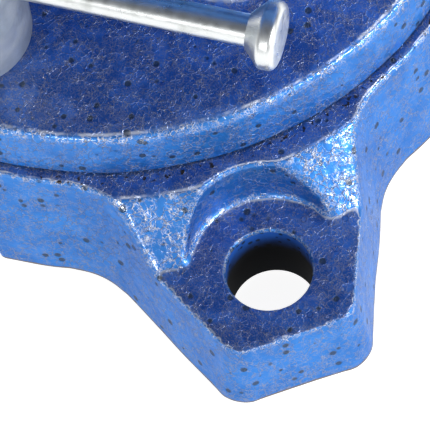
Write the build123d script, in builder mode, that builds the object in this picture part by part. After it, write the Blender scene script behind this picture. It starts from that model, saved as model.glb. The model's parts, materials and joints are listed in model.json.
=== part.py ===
"""Bench vise with a swivel base, a rear anvil and a screw-driven sliding jaw.

Frame: origin at the centre of the base's underside, on the swivel axis. +Z is up, the anvil points to +Y,
the screw handle to -Y, and the jaws are wide along X. Every length is in millimetres.
"""

import os
from math import atan, cos, degrees, radians, sin

from build123d import *

os.makedirs("parts", exist_ok=True)

# ---------------------------------------------------------------- driving dimensions
JAW_WIDTH = 125.0
JAW_OPENING = 110.0  # jaws fully open
REST_GAP = 10.0  # jaws as modelled
RUNNING_GAP = 0.3  # between a sliding casting and its guide
SHAFT_CLEARANCE = 0.1  # between a shaft and its hole, on the radius
OVERCUT = 5.0  # how far a cutting shape runs past what it cuts

# Swivel base: a round hub with four lugs
BASE_HEIGHT = 24.0
HUB_FOOT_RADIUS = 66.8
CASTING_DRAFT = 9.5  # degrees
LUG_BEARING = 48.0  # degrees from the X axis to a lug
LUG_THICKNESS = 14.6
LUG_HOLE_RADIUS = 7.0
LUG_HOLE_REACH = 78.1  # swivel axis to hole
LUG_END_REACH = 92.9
LUG_END_HALF_WIDTH = 11.8
LUG_SIDE_SLOPE = 0.41  # half-width gained per millimetre towards the hub
LUG_CORNER_RADIUS = 6.4
LUG_ROOT_RADIUS = 14.0
LUG_ROOT_SUNK = 14.0  # how far inside the hub a lug's outline starts
SHOULDER_TOP_RADIUS = 65.0  # where the slope from the hub down to a lug starts
SHOULDER_FOOT_RADIUS = 74.6
SPOT_FACE_RADIUS = 13.2
SPOT_FACE_RIM_RADIUS = 14.2  # at the height of the hub's top

# T-slot ring inside the base, for the two lock bolts
LOCK_REACH = 45.3  # swivel axis to lock bolt
SLOT_HALF_WIDTH = 6.8
CHANNEL_HALF_WIDTH = 12.25
CHANNEL_ROOF = 15.5
SPOKE_HEIGHT = 6.0
SPOKE_WIDTH = 16.0
ARCH_HALF_WIDTH = 14.4
ARCH_HEIGHT = 6.5
ARCH_CORNER_RADIUS = 5.0

# Pivot in the middle of the base
SPIGOT_RADIUS = 15.9
PIVOT_BORE_RADIUS = 16.0
PIVOT_POCKET_RADIUS = 20.5
PIVOT_POCKET_HEIGHT = 12.0
PIVOT_BOLT_RADIUS = 5.0
PIVOT_WASHER_THICKNESS = 3.0
PIVOT_BOLT_LENGTH = 20.0
PIVOT_BOLT_COVER = 2.0  # metal left above the bolt's hole
PIVOT_HEAD_ACROSS_FLATS = 16.0
PIVOT_HEAD_HEIGHT = 6.0
PIVOT_GAP = 0.2  # between the washer and the roof of its pocket

# Swivel plate and column, both part of the fixed jaw casting
PLATE_FOOT_RADIUS = 61.5
PLATE_TOP_RADIUS = 59.8
PLATE_THICKNESS = 10.0
PLATE_TOP = BASE_HEIGHT + PLATE_THICKNESS
PLATE_RELIEF = 0.5  # thin gap under the plate's rim
PLATE_RELIEF_WIDTH = 2.0
CAST_EDGE_RADIUS = 1.6
WAIST_HALF_WIDTH = 18.0
WAIST_HALF_LENGTH = 36.0
WAIST_CORNER_RADIUS = 10.0
WAIST_BOTTOM = 42.0
WAIST_TOP = 61.0
FOOT_SPREAD = 5.0  # how far the column's foot stands out from its waist
HOUSING_CORNER_RADIUS = 6.0

# Slide beam and the tunnel that guides it
BEAM_HALF_WIDTH = 21.0
BEAM_BOTTOM = 76.0
BEAM_TOP = 112.0
BEAM_HOLLOW_HALF_WIDTH = 14.0
BEAM_HOLLOW_TOP = 103.0
BEAM_LEFT_IN_HOUSING = 41.0  # with the jaws fully open
TUNNEL_WALL = 5.7
BODY_FRONT = -26.0
BODY_REAR = 70.0
SPINDLE_HEIGHT = 90.0

# Jaws
JAW_TOP = 168.0
JAW_PLATE_HEIGHT = 22.0
JAW_PLATE_THICKNESS = 8.0
FIXED_FACE = -28.0  # Y of the fixed jaw's gripping face
JAW_FLARE_BOTTOM = 118.0
JAW_FLARE_TOP = 141.0
FIXED_JAW_BACK = 9.0
JAW_BACK_BEVEL = 9.0
JAW_BACK_BEVEL_FOOT = 6.0  # where the bevel starts above the flare
JAW_ROOT_SUNK = 8.0  # how far inside the housing the jaw starts
SLIDING_JAW_DEPTH = 30.0
SLIDING_JAW_TOP_BEVEL = 4.0
SLIDING_JAW_BULGE = 3.0  # where the jaw plate ends
BOSS_REACH = 6.0  # how far the boss stands out from the jaw's foot
JAW_SCREW_SPREAD = 36.0
JAW_SCREW_RADIUS = 4.0
JAW_SCREW_HEAD_RADIUS = 7.4
JAW_SCREW_LENGTH = 20.0
JAW_SCREW_SUNK = 0.6  # how far the head lies below the jaw plate's face
JAW_SCREW_SOCKET_RADIUS = 2.9

# Anvil behind the fixed jaw
ANVIL_TOP = 131.0
ANVIL_HALF_WIDTH = 25.0
ANVIL_FRONT = 24.0
ANVIL_TAPER = 3.0
RIB_HALF_WIDTH = 20.0
RIB_SUNK = 4.0  # how far the rib runs into the jaw and the anvil

# Spindle and its handle
SPINDLE_RADIUS = 10.0
THREAD_LEFT_IN_NUT = 18.0  # with the jaws fully open
SPINDLE_REAR_CHAMFER = 1.5
BOSS_RADIUS = 24.0
BOSS_FRONT = -98.0
THRUST_WASHER_THICKNESS = 2.0
HEAD_RADIUS = 17.0
HEAD_LENGTH = 34.0
HEAD_CHAMFER = 3.0
HANDLE_PLACE = 0.45  # of the head's length, from its front
COLLAR_RADIUS = 12.6
COLLAR_LENGTH = 8.0
COLLAR_PIN_RADIUS = 1.5
COLLAR_GAP = 0.2  # between the collar and the spring
SPRING_LENGTH = 12.6
SPRING_BORE_RADIUS = 10.4
HANDLE_RADIUS = 6.5
HANDLE_HALF_LENGTH = 96.0
HANDLE_CAP_RADIUS = 10.0
HANDLE_CAP_LENGTH = 12.0
HANDLE_CAP_CHAMFER = 2.8
HANDLE_CAP_WALL = 3.0  # over the bar's end
BEAM_FRONT_WALL = 16.0
NUT_LENGTH = 36.0
NUT_FRONT = -6.0
NUT_CHAMFER = 4.0
NUT_FOOT_LENGTH = 15.0
NUT_FOOT_THICKNESS = 3.4
NUT_SCREW_RADIUS = 3.0
NUT_SCREW_HEAD_RADIUS = 5.2
NUT_SCREW_LENGTH = 12.0
NUT_SCREW_SOCKET_RADIUS = 2.2

# Swivel locks
LOCK_BOLT_RADIUS = 6.0
LOCK_BOLT_HEAD = (21.0, 14.0, 7.0)
LOCK_NUT_RADIUS = 10.46
LOCK_NUT_HEIGHT = 28.0
LOCK_NUT_EDGE_RADIUS = 2.4
LOCK_BAR_HEIGHT = 20.0  # bar axis above the plate
LOCK_BAR_RADIUS = 2.6
LOCK_BAR_LEAN = 14.4  # degrees that the bar's rear end leans towards the column
LOCK_BAR_REAR = 53.5
LOCK_BAR_FRONT = 46.5
LOCK_CAP_RADIUS = 5.6
LOCK_CAP_LENGTH = 5.2
LOCK_CAP_RIM = 2.6
LOCK_HEAD_GAP = 0.4  # between the bolt's head and the roof of its channel
LOCK_BOLT_BELOW_BAR = 5.0

SIDES = {"right": 1, "left": -1}

# ---------------------------------------------------------------- derived places
lug_bearings = [LUG_BEARING, 180 - LUG_BEARING, 180 + LUG_BEARING, -LUG_BEARING]
lug_holes = [
    (LUG_HOLE_REACH * cos(radians(b)), LUG_HOLE_REACH * sin(radians(b)))
    for b in lug_bearings
]
sliding_face = FIXED_FACE - REST_GAP
jaw_half_width = JAW_WIDTH / 2
tunnel_half_width = BEAM_HALF_WIDTH + RUNNING_GAP
tunnel_top = BEAM_TOP + RUNNING_GAP
tunnel_floor = BEAM_BOTTOM - RUNNING_GAP
body_half_width = tunnel_half_width + TUNNEL_WALL
body_top = tunnel_top + TUNNEL_WALL
beam_front = sliding_face - SLIDING_JAW_DEPTH
jaw_travel = JAW_OPENING - REST_GAP
beam_rear = BODY_FRONT + BEAM_LEFT_IN_HOUSING + jaw_travel
spindle_rear = NUT_FRONT + THREAD_LEFT_IN_NUT + jaw_travel
hollow_front = beam_front + BEAM_FRONT_WALL
head_front = BOSS_FRONT - THRUST_WASHER_THICKNESS - HEAD_LENGTH
handle_y = head_front + HANDLE_PLACE * HEAD_LENGTH
collar_y = hollow_front + SPRING_LENGTH + COLLAR_GAP + COLLAR_LENGTH / 2
lock_bar_z = PLATE_TOP + LOCK_BAR_HEIGHT
washer_top = PIVOT_POCKET_HEIGHT - PIVOT_GAP
nut_foot_top = tunnel_floor + NUT_FOOT_THICKNESS
nut_screw_y = NUT_FRONT + NUT_LENGTH + NUT_FOOT_LENGTH / 2


def turned(bearing):
    """The base's frame turned about the swivel axis by bearing degrees."""
    return Location((0, 0, 0), (0, 0, bearing))


def finish(piece, name):
    """Labels a finished piece and writes its file."""
    piece.part.label = name
    export_step(piece.part, f"parts/{name}.step")


# ---------------------------------------------------------------- swivel base
lug_root_reach = HUB_FOOT_RADIUS - LUG_ROOT_SUNK
lug_root_half_width = LUG_END_HALF_WIDTH + LUG_SIDE_SLOPE * (LUG_END_REACH - lug_root_reach)

with BuildPart() as swivel_base:
    with BuildSketch() as footprint:
        Circle(HUB_FOOT_RADIUS)
        for bearing in lug_bearings:
            with Locations(turned(bearing)):
                Polygon(
                    (lug_root_reach, -lug_root_half_width),
                    (LUG_END_REACH, -LUG_END_HALF_WIDTH),
                    (LUG_END_REACH, LUG_END_HALF_WIDTH),
                    (lug_root_reach, lug_root_half_width),
                    align=None,
                )
        ends = footprint.vertices().sort_by_distance((0, 0))[-8:]
        fillet(ends, radius=LUG_CORNER_RADIUS)
        roots = footprint.vertices().filter_by(
            lambda v: abs(Vector(v.X, v.Y).length - HUB_FOOT_RADIUS) < 0.1 and abs(v.Y) > 5
        )
        fillet(roots, radius=LUG_ROOT_RADIUS)
    extrude(amount=BASE_HEIGHT, taper=CASTING_DRAFT)

    # Hub top, the slope down to the lugs and the lugs' flat tops
    with BuildSketch(Plane.XZ):
        with BuildLine():
            Polyline(
                (0, -1),
                (LUG_END_REACH + OVERCUT, -1),
                (LUG_END_REACH + OVERCUT, LUG_THICKNESS),
                (SHOULDER_FOOT_RADIUS, LUG_THICKNESS),
                (SHOULDER_TOP_RADIUS, BASE_HEIGHT),
                (0, BASE_HEIGHT),
                close=True,
            )
        make_face()
    revolve(axis=Axis.Z, mode=Mode.INTERSECT)

    # T-slot: a narrow slot above a wide channel that is open underneath
    with BuildSketch(Plane.XZ):
        with Locations((LOCK_REACH, BASE_HEIGHT)):
            Rectangle(2 * SLOT_HALF_WIDTH, 2 * (BASE_HEIGHT - CHANNEL_ROOF) + 1)
        with Locations((LOCK_REACH, 0)):
            Rectangle(2 * CHANNEL_HALF_WIDTH, 2 * CHANNEL_ROOF)
    revolve(axis=Axis.Z, mode=Mode.SUBTRACT)

    # Spokes under the channel join the middle boss to the outer wall
    for bearing in lug_bearings:
        with Locations(turned(bearing)):
            with Locations((LOCK_REACH, 0)):
                Box(
                    2 * CHANNEL_HALF_WIDTH + 6,
                    SPOKE_WIDTH,
                    SPOKE_HEIGHT,
                    align=(Align.CENTER, Align.CENTER, Align.MIN),
                )

    # Bolt holes, with a drafted spot face cut into the slope around each
    with Locations(*[(x, y, LUG_THICKNESS) for x, y in lug_holes]):
        Cone(
            SPOT_FACE_RADIUS,
            SPOT_FACE_RIM_RADIUS,
            BASE_HEIGHT - LUG_THICKNESS,
            align=(Align.CENTER, Align.CENTER, Align.MIN),
            mode=Mode.SUBTRACT,
        )
        Hole(LUG_HOLE_RADIUS)

    # Pivot bore and the pocket for its washer
    with Locations((0, 0, BASE_HEIGHT)):
        Hole(PIVOT_BORE_RADIUS)
    Cylinder(
        PIVOT_POCKET_RADIUS,
        PIVOT_POCKET_HEIGHT,
        align=(Align.CENTER, Align.CENTER, Align.MIN),
        mode=Mode.SUBTRACT,
    )

    # Arched openings in the outer wall, in line with the lock bolts
    outer_wall = LOCK_REACH + CHANNEL_HALF_WIDTH
    for side in SIDES.values():
        with BuildSketch(Plane.YZ.offset(side * (outer_wall - OVERCUT))):
            with BuildLine():
                Polyline(
                    (-ARCH_HALF_WIDTH - 4, -4),
                    (-ARCH_HALF_WIDTH + ARCH_HEIGHT, ARCH_HEIGHT),
                    (ARCH_HALF_WIDTH - ARCH_HEIGHT, ARCH_HEIGHT),
                    (ARCH_HALF_WIDTH + 4, -4),
                    close=True,
                )
            make_face()
        extrude(amount=side * 4 * OVERCUT, mode=Mode.SUBTRACT)
    fillet(
        swivel_base.edges()
        .filter_by(Axis.X)
        .filter_by_position(Axis.Z, ARCH_HEIGHT - 0.1, ARCH_HEIGHT + 0.1),
        radius=ARCH_CORNER_RADIUS,
    )
finish(swivel_base, "swivel_base")

# ---------------------------------------------------------------- fixed jaw casting
plate_draft = degrees(atan((PLATE_FOOT_RADIUS - PLATE_TOP_RADIUS) / PLATE_THICKNESS))

with BuildPart() as fixed_jaw_body:
    # Round plate that turns on the base, with its pivot spigot
    with BuildSketch(Plane.XY.offset(BASE_HEIGHT)):
        Circle(PLATE_FOOT_RADIUS)
    extrude(amount=PLATE_THICKNESS, taper=plate_draft)
    fillet(fixed_jaw_body.edges().group_by(Axis.Z)[-1], radius=CAST_EDGE_RADIUS)
    with BuildSketch(Plane.XY.offset(BASE_HEIGHT)):
        Circle(PLATE_FOOT_RADIUS + 1)
        Circle(PLATE_FOOT_RADIUS - PLATE_RELIEF_WIDTH, mode=Mode.SUBTRACT)
    extrude(amount=PLATE_RELIEF, mode=Mode.SUBTRACT)
    with Locations((0, 0, BASE_HEIGHT)):
        Cylinder(
            SPIGOT_RADIUS,
            BASE_HEIGHT - washer_top,
            align=(Align.CENTER, Align.CENTER, Align.MAX),
        )

    # Column: a spread foot, a straight waist and a flare up to the slide
    with BuildSketch(Plane.XY.offset(PLATE_TOP)):
        RectangleRounded(
            2 * (WAIST_HALF_WIDTH + FOOT_SPREAD),
            2 * (WAIST_HALF_LENGTH + FOOT_SPREAD),
            WAIST_CORNER_RADIUS + 2,
        )
    with BuildSketch(Plane.XY.offset(WAIST_BOTTOM)):
        RectangleRounded(2 * WAIST_HALF_WIDTH, 2 * WAIST_HALF_LENGTH, WAIST_CORNER_RADIUS)
    loft(ruled=True)
    with BuildSketch(Plane.XY.offset(WAIST_BOTTOM)):
        RectangleRounded(2 * WAIST_HALF_WIDTH, 2 * WAIST_HALF_LENGTH, WAIST_CORNER_RADIUS)
    extrude(amount=WAIST_TOP - WAIST_BOTTOM)
    with BuildSketch(Plane.XY.offset(WAIST_TOP)):
        RectangleRounded(2 * WAIST_HALF_WIDTH, 2 * WAIST_HALF_LENGTH, WAIST_CORNER_RADIUS)
    with BuildSketch(Plane.XY.offset(BEAM_BOTTOM)):
        with Locations((0, (BODY_FRONT + BODY_REAR) / 2)):
            RectangleRounded(2 * body_half_width, BODY_REAR - BODY_FRONT, HOUSING_CORNER_RADIUS)
    loft(ruled=True)

    # Slide housing and anvil
    with BuildSketch(Plane.XY.offset(BEAM_BOTTOM)):
        with Locations((0, (BODY_FRONT + BODY_REAR) / 2)):
            RectangleRounded(2 * body_half_width, BODY_REAR - BODY_FRONT, HOUSING_CORNER_RADIUS)
    extrude(amount=body_top - BEAM_BOTTOM)
    anvil_middle = (ANVIL_FRONT + BODY_REAR) / 2
    anvil_length = BODY_REAR - ANVIL_FRONT
    with BuildSketch(Plane.XY.offset(body_top)):
        with Locations((0, anvil_middle)):
            RectangleRounded(2 * body_half_width, anvil_length, HOUSING_CORNER_RADIUS)
    with BuildSketch(Plane.XY.offset(ANVIL_TOP)):
        with Locations((0, anvil_middle)):
            RectangleRounded(
                2 * ANVIL_HALF_WIDTH,
                anvil_length - 2 * ANVIL_TAPER,
                HOUSING_CORNER_RADIUS - 1,
            )
    loft(ruled=True)

    # Jaw, flaring from the housing to the full jaw width
    jaw_root = body_top - JAW_ROOT_SUNK
    with BuildSketch(Plane.XZ.offset(-FIXED_JAW_BACK)):
        with BuildLine():
            Polyline(
                (-body_half_width, jaw_root),
                (-body_half_width, JAW_FLARE_BOTTOM),
                (-jaw_half_width, JAW_FLARE_TOP),
                (-jaw_half_width, JAW_TOP),
                (jaw_half_width, JAW_TOP),
                (jaw_half_width, JAW_FLARE_TOP),
                (body_half_width, JAW_FLARE_BOTTOM),
                (body_half_width, jaw_root),
                close=True,
            )
        make_face()
    extrude(amount=FIXED_JAW_BACK - FIXED_FACE)

    # The jaw's back is bevelled, and a rib runs from it to the anvil
    with BuildSketch(Plane.YZ):
        with BuildLine():
            Polyline(
                (FIXED_JAW_BACK - JAW_BACK_BEVEL, JAW_TOP + 1),
                (FIXED_JAW_BACK + 1, JAW_FLARE_TOP + JAW_BACK_BEVEL_FOOT),
                (FIXED_JAW_BACK + 1, JAW_TOP + 1),
                close=True,
            )
        make_face()
    extrude(amount=JAW_WIDTH, both=True, mode=Mode.SUBTRACT)
    with BuildSketch(Plane.YZ):
        with BuildLine():
            Polyline(
                (FIXED_JAW_BACK - RIB_SUNK, body_top - 1),
                (FIXED_JAW_BACK - RIB_SUNK, JAW_TOP - JAW_PLATE_HEIGHT),
                (FIXED_JAW_BACK, JAW_TOP - JAW_PLATE_HEIGHT),
                (ANVIL_FRONT + ANVIL_TAPER + RIB_SUNK, ANVIL_TOP - 1),
                (ANVIL_FRONT + ANVIL_TAPER + RIB_SUNK, body_top - 1),
                close=True,
            )
        make_face()
    extrude(amount=RIB_HALF_WIDTH, both=True)

    # Seat for the jaw plate
    with Locations((0, FIXED_FACE, JAW_TOP)):
        Box(
            JAW_WIDTH + 2,
            2 * JAW_PLATE_THICKNESS,
            2 * JAW_PLATE_HEIGHT,
            mode=Mode.SUBTRACT,
        )

    # Tunnel for the slide beam
    with BuildSketch(Plane.XZ.offset(-BODY_REAR - OVERCUT)):
        with Locations((0, (tunnel_floor + tunnel_top) / 2)):
            Rectangle(2 * tunnel_half_width, tunnel_top - tunnel_floor)
    extrude(amount=BODY_REAR - BODY_FRONT + 2 * OVERCUT, mode=Mode.SUBTRACT)

    # Holes: jaw screws, lock bolts, pivot bolt and the screw that holds the nut
    seat_plane = Plane.XZ.offset(-(FIXED_FACE + JAW_PLATE_THICKNESS))
    with BuildSketch(seat_plane):
        with Locations((0, JAW_TOP - JAW_PLATE_HEIGHT / 2)):
            with GridLocations(2 * JAW_SCREW_SPREAD, 1, 2, 1):
                Circle(JAW_SCREW_RADIUS)
    extrude(amount=-(JAW_SCREW_LENGTH - JAW_PLATE_THICKNESS + 1), mode=Mode.SUBTRACT)
    with Locations(*[(side * LOCK_REACH, 0, PLATE_TOP) for side in SIDES.values()]):
        Hole(LOCK_BOLT_RADIUS + 0.5, depth=PLATE_THICKNESS + 1)
    with BuildSketch():
        Circle(PIVOT_BOLT_RADIUS)
    extrude(amount=PLATE_TOP - PIVOT_BOLT_COVER, mode=Mode.SUBTRACT)
    with Locations((0, nut_screw_y, tunnel_floor)):
        Hole(NUT_SCREW_RADIUS, depth=NUT_SCREW_LENGTH)
finish(fixed_jaw_body, "fixed_jaw_body")

# ---------------------------------------------------------------- sliding jaw casting
with BuildPart() as sliding_jaw:
    # Jaw outline seen from the front, then its profile seen from the side
    with BuildSketch(Plane.XZ.offset(-sliding_face)):
        with BuildLine():
            Polyline(
                (-BOSS_RADIUS, BEAM_BOTTOM),
                (-BOSS_RADIUS, JAW_FLARE_BOTTOM),
                (-jaw_half_width, JAW_FLARE_TOP),
                (-jaw_half_width, JAW_TOP),
                (jaw_half_width, JAW_TOP),
                (jaw_half_width, JAW_FLARE_TOP),
                (BOSS_RADIUS, JAW_FLARE_BOTTOM),
                (BOSS_RADIUS, BEAM_BOTTOM),
                close=True,
            )
        make_face()
    extrude(amount=sliding_face - BOSS_FRONT)
    with BuildSketch(Plane.YZ):
        with BuildLine():
            Polyline(
                (sliding_face, BEAM_BOTTOM - OVERCUT),
                (sliding_face, JAW_TOP),
                (beam_front + SLIDING_JAW_TOP_BEVEL, JAW_TOP),
                (beam_front - SLIDING_JAW_BULGE, JAW_TOP - JAW_PLATE_HEIGHT),
                (BOSS_FRONT + BOSS_REACH, SPINDLE_HEIGHT + BOSS_RADIUS),
                (BOSS_FRONT + BOSS_REACH, BEAM_BOTTOM - OVERCUT),
                close=True,
            )
        make_face()
    extrude(amount=JAW_WIDTH, both=True, mode=Mode.INTERSECT)

    # Round boss around the spindle
    with BuildSketch(Plane.XZ.offset(-sliding_face)):
        with Locations((0, SPINDLE_HEIGHT)):
            Circle(BOSS_RADIUS)
    extrude(amount=sliding_face - BOSS_FRONT)
    # Flat underside, level with the beam's
    split(bisect_by=Plane.XY.offset(BEAM_BOTTOM), keep=Keep.TOP)

    # Seat for the jaw plate
    with Locations((0, sliding_face, JAW_TOP)):
        Box(
            JAW_WIDTH + 2,
            2 * JAW_PLATE_THICKNESS,
            2 * JAW_PLATE_HEIGHT,
            mode=Mode.SUBTRACT,
        )

    # Slide beam, an upside-down channel that is open at the bottom and the rear
    with Locations((0, beam_front, BEAM_BOTTOM)):
        Box(
            2 * BEAM_HALF_WIDTH,
            beam_rear - beam_front,
            BEAM_TOP - BEAM_BOTTOM,
            align=(Align.CENTER, Align.MIN, Align.MIN),
        )
    with Locations((0, hollow_front, BEAM_BOTTOM)):
        Box(
            2 * BEAM_HOLLOW_HALF_WIDTH,
            beam_rear - hollow_front + OVERCUT,
            BEAM_HOLLOW_TOP - BEAM_BOTTOM,
            align=(Align.CENTER, Align.MIN, Align.MIN),
            mode=Mode.SUBTRACT,
        )

    # Spindle bore and jaw screw holes
    with BuildSketch(Plane.XZ.offset(-BOSS_FRONT + 1)):
        with Locations((0, SPINDLE_HEIGHT)):
            Circle(SPINDLE_RADIUS + SHAFT_CLEARANCE)
    extrude(amount=-(hollow_front - BOSS_FRONT + 2), mode=Mode.SUBTRACT)
    with BuildSketch(Plane.XZ.offset(-(sliding_face - JAW_PLATE_THICKNESS))):
        with Locations((0, JAW_TOP - JAW_PLATE_HEIGHT / 2)):
            with GridLocations(2 * JAW_SCREW_SPREAD, 1, 2, 1):
                Circle(JAW_SCREW_RADIUS)
    extrude(amount=JAW_SCREW_LENGTH - JAW_PLATE_THICKNESS + 1, mode=Mode.SUBTRACT)
finish(sliding_jaw, "sliding_jaw")

# ---------------------------------------------------------------- jaw plates and their screws
# The gripping face looks towards -Y on the fixed jaw and +Y on the sliding one.
jaws = {"fixed": (FIXED_FACE, 1), "sliding": (sliding_face, -1)}
for jaw, (face, inward) in jaws.items():
    back = face + inward * JAW_PLATE_THICKNESS
    face_plane = Plane(
        origin=(0, face, JAW_TOP - JAW_PLATE_HEIGHT / 2),
        x_dir=(1, 0, 0),
        z_dir=(0, -inward, 0),
    )
    with BuildPart() as jaw_plate:
        with BuildSketch(face_plane):
            Rectangle(JAW_WIDTH, JAW_PLATE_HEIGHT)
        extrude(amount=-JAW_PLATE_THICKNESS)
        with Locations(face_plane):
            with GridLocations(2 * JAW_SCREW_SPREAD, 1, 2, 1):
                CounterSinkHole(JAW_SCREW_RADIUS + 0.3, JAW_SCREW_HEAD_RADIUS + 0.3)
    finish(jaw_plate, f"{jaw}_jaw_plate")

    with BuildPart() as jaw_screws:
        for x in (-JAW_SCREW_SPREAD, JAW_SCREW_SPREAD):
            screw_axis = Plane(
                origin=(x, face, JAW_TOP - JAW_PLATE_HEIGHT / 2),
                x_dir=(1, 0, 0),
                z_dir=(0, inward, 0),
            )
            head_depth = JAW_SCREW_HEAD_RADIUS - JAW_SCREW_RADIUS
            with BuildSketch(screw_axis.offset(JAW_SCREW_SUNK)):
                Circle(JAW_SCREW_HEAD_RADIUS - JAW_SCREW_SUNK)
            with BuildSketch(screw_axis.offset(JAW_SCREW_SUNK + head_depth)):
                Circle(JAW_SCREW_RADIUS - JAW_SCREW_SUNK)
            loft()
            with BuildSketch(screw_axis.offset(JAW_SCREW_SUNK + head_depth / 2)):
                Circle(JAW_SCREW_RADIUS - 0.1)
            extrude(amount=JAW_SCREW_LENGTH - JAW_SCREW_SUNK - head_depth / 2)
            with BuildSketch(screw_axis.offset(JAW_SCREW_SUNK)):
                RegularPolygon(JAW_SCREW_SOCKET_RADIUS, 6)
            extrude(amount=JAW_SCREW_SOCKET_RADIUS, mode=Mode.SUBTRACT)
    finish(jaw_screws, f"{jaw}_jaw_screws")

# ---------------------------------------------------------------- spindle, nut and what holds them
with BuildPart() as spindle:
    with Locations(Location((0, spindle_rear, SPINDLE_HEIGHT), (90, 0, 0))):
        Cylinder(
            SPINDLE_RADIUS,
            spindle_rear - head_front - HEAD_CHAMFER,
            align=(Align.CENTER, Align.CENTER, Align.MIN),
        )
    with Locations(Location((0, BOSS_FRONT - THRUST_WASHER_THICKNESS, SPINDLE_HEIGHT), (90, 0, 0))):
        Cylinder(HEAD_RADIUS, HEAD_LENGTH, align=(Align.CENTER, Align.CENTER, Align.MIN))
    chamfer(spindle.edges().filter_by(GeomType.CIRCLE).sort_by(Axis.Y)[0], length=HEAD_CHAMFER)
    chamfer(spindle.edges().filter_by(GeomType.CIRCLE).sort_by(Axis.Y)[-1], length=SPINDLE_REAR_CHAMFER)
    with Locations(Location((0, handle_y, SPINDLE_HEIGHT), (0, 90, 0))):
        Cylinder(HANDLE_RADIUS + SHAFT_CLEARANCE, 3 * HEAD_RADIUS, mode=Mode.SUBTRACT)
    # Cross hole for the collar's pin
    with Locations((0, collar_y, SPINDLE_HEIGHT)):
        Cylinder(COLLAR_PIN_RADIUS + 0.05, 3 * SPINDLE_RADIUS, mode=Mode.SUBTRACT)
finish(spindle, "spindle")

with BuildPart() as thrust_washer:
    with BuildSketch(Plane.XZ.offset(-BOSS_FRONT)):
        with Locations((0, SPINDLE_HEIGHT)):
            Circle(HEAD_RADIUS + 1)
            Circle(SPINDLE_RADIUS + SHAFT_CLEARANCE, mode=Mode.SUBTRACT)
    extrude(amount=THRUST_WASHER_THICKNESS)
finish(thrust_washer, "thrust_washer")

with BuildPart() as retaining_collar:
    with BuildSketch(Plane.XZ.offset(-(collar_y + COLLAR_LENGTH / 2))):
        with Locations((0, SPINDLE_HEIGHT)):
            Circle(COLLAR_RADIUS)
            Circle(SPINDLE_RADIUS + 0.05, mode=Mode.SUBTRACT)
    extrude(amount=COLLAR_LENGTH)
    with Locations((0, collar_y, SPINDLE_HEIGHT)):
        Cylinder(COLLAR_PIN_RADIUS + 0.05, 3 * SPINDLE_RADIUS, mode=Mode.SUBTRACT)
finish(retaining_collar, "retaining_collar")

with BuildPart() as collar_pin:
    with Locations((0, collar_y, SPINDLE_HEIGHT)):
        Cylinder(COLLAR_PIN_RADIUS, 2 * COLLAR_RADIUS - 0.4)
finish(collar_pin, "collar_pin")

with BuildPart() as spindle_spring:
    with BuildSketch(Plane.XZ.offset(-(hollow_front + SPRING_LENGTH))):
        with Locations((0, SPINDLE_HEIGHT)):
            Circle(COLLAR_RADIUS)
            Circle(SPRING_BORE_RADIUS, mode=Mode.SUBTRACT)
    extrude(amount=SPRING_LENGTH)
finish(spindle_spring, "spindle_spring")

with BuildPart() as main_nut:
    nut_half_width = BEAM_HOLLOW_HALF_WIDTH - 1
    with Locations((0, NUT_FRONT, tunnel_floor)):
        Box(
            2 * nut_half_width,
            NUT_LENGTH,
            BEAM_HOLLOW_TOP - 0.8 - tunnel_floor,
            align=(Align.CENTER, Align.MIN, Align.MIN),
        )
    chamfer(main_nut.edges().filter_by(Axis.Y).group_by(Axis.Z)[-1], length=NUT_CHAMFER)
    # Foot with the countersunk hole for its hold-down screw
    with Locations((0, NUT_FRONT + NUT_LENGTH, tunnel_floor)):
        Box(
            2 * nut_half_width,
            NUT_FOOT_LENGTH,
            NUT_FOOT_THICKNESS,
            align=(Align.CENTER, Align.MIN, Align.MIN),
        )
    with Locations((0, nut_screw_y, nut_foot_top)):
        CounterSinkHole(
            NUT_SCREW_RADIUS + 0.2, NUT_SCREW_HEAD_RADIUS + 0.2, depth=NUT_FOOT_THICKNESS + 1
        )
    with BuildSketch(Plane.XZ.offset(-(NUT_FRONT + NUT_LENGTH + 1))):
        with Locations((0, SPINDLE_HEIGHT)):
            Circle(SPINDLE_RADIUS + SHAFT_CLEARANCE)
    extrude(amount=NUT_LENGTH + 2, mode=Mode.SUBTRACT)
finish(main_nut, "main_nut")

with BuildPart() as nut_screw:
    with Locations((0, nut_screw_y, nut_foot_top)):
        Cylinder(
            NUT_SCREW_RADIUS - 0.1, NUT_SCREW_LENGTH, align=(Align.CENTER, Align.CENTER, Align.MAX)
        )
        Cone(
            NUT_SCREW_RADIUS,
            NUT_SCREW_HEAD_RADIUS,
            NUT_SCREW_HEAD_RADIUS - NUT_SCREW_RADIUS,
            align=(Align.CENTER, Align.CENTER, Align.MAX),
        )
    with BuildSketch(Plane.XY.offset(nut_foot_top)):
        with Locations((0, nut_screw_y)):
            RegularPolygon(NUT_SCREW_SOCKET_RADIUS, 6)
    extrude(amount=-NUT_SCREW_SOCKET_RADIUS, mode=Mode.SUBTRACT)
finish(nut_screw, "nut_screw")

# ---------------------------------------------------------------- spindle handle
with BuildPart() as spindle_handle:
    with Locations(Location((0, handle_y, SPINDLE_HEIGHT), (0, 90, 0))):
        Cylinder(HANDLE_RADIUS, 2 * HANDLE_HALF_LENGTH)
finish(spindle_handle, "spindle_handle")

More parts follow.
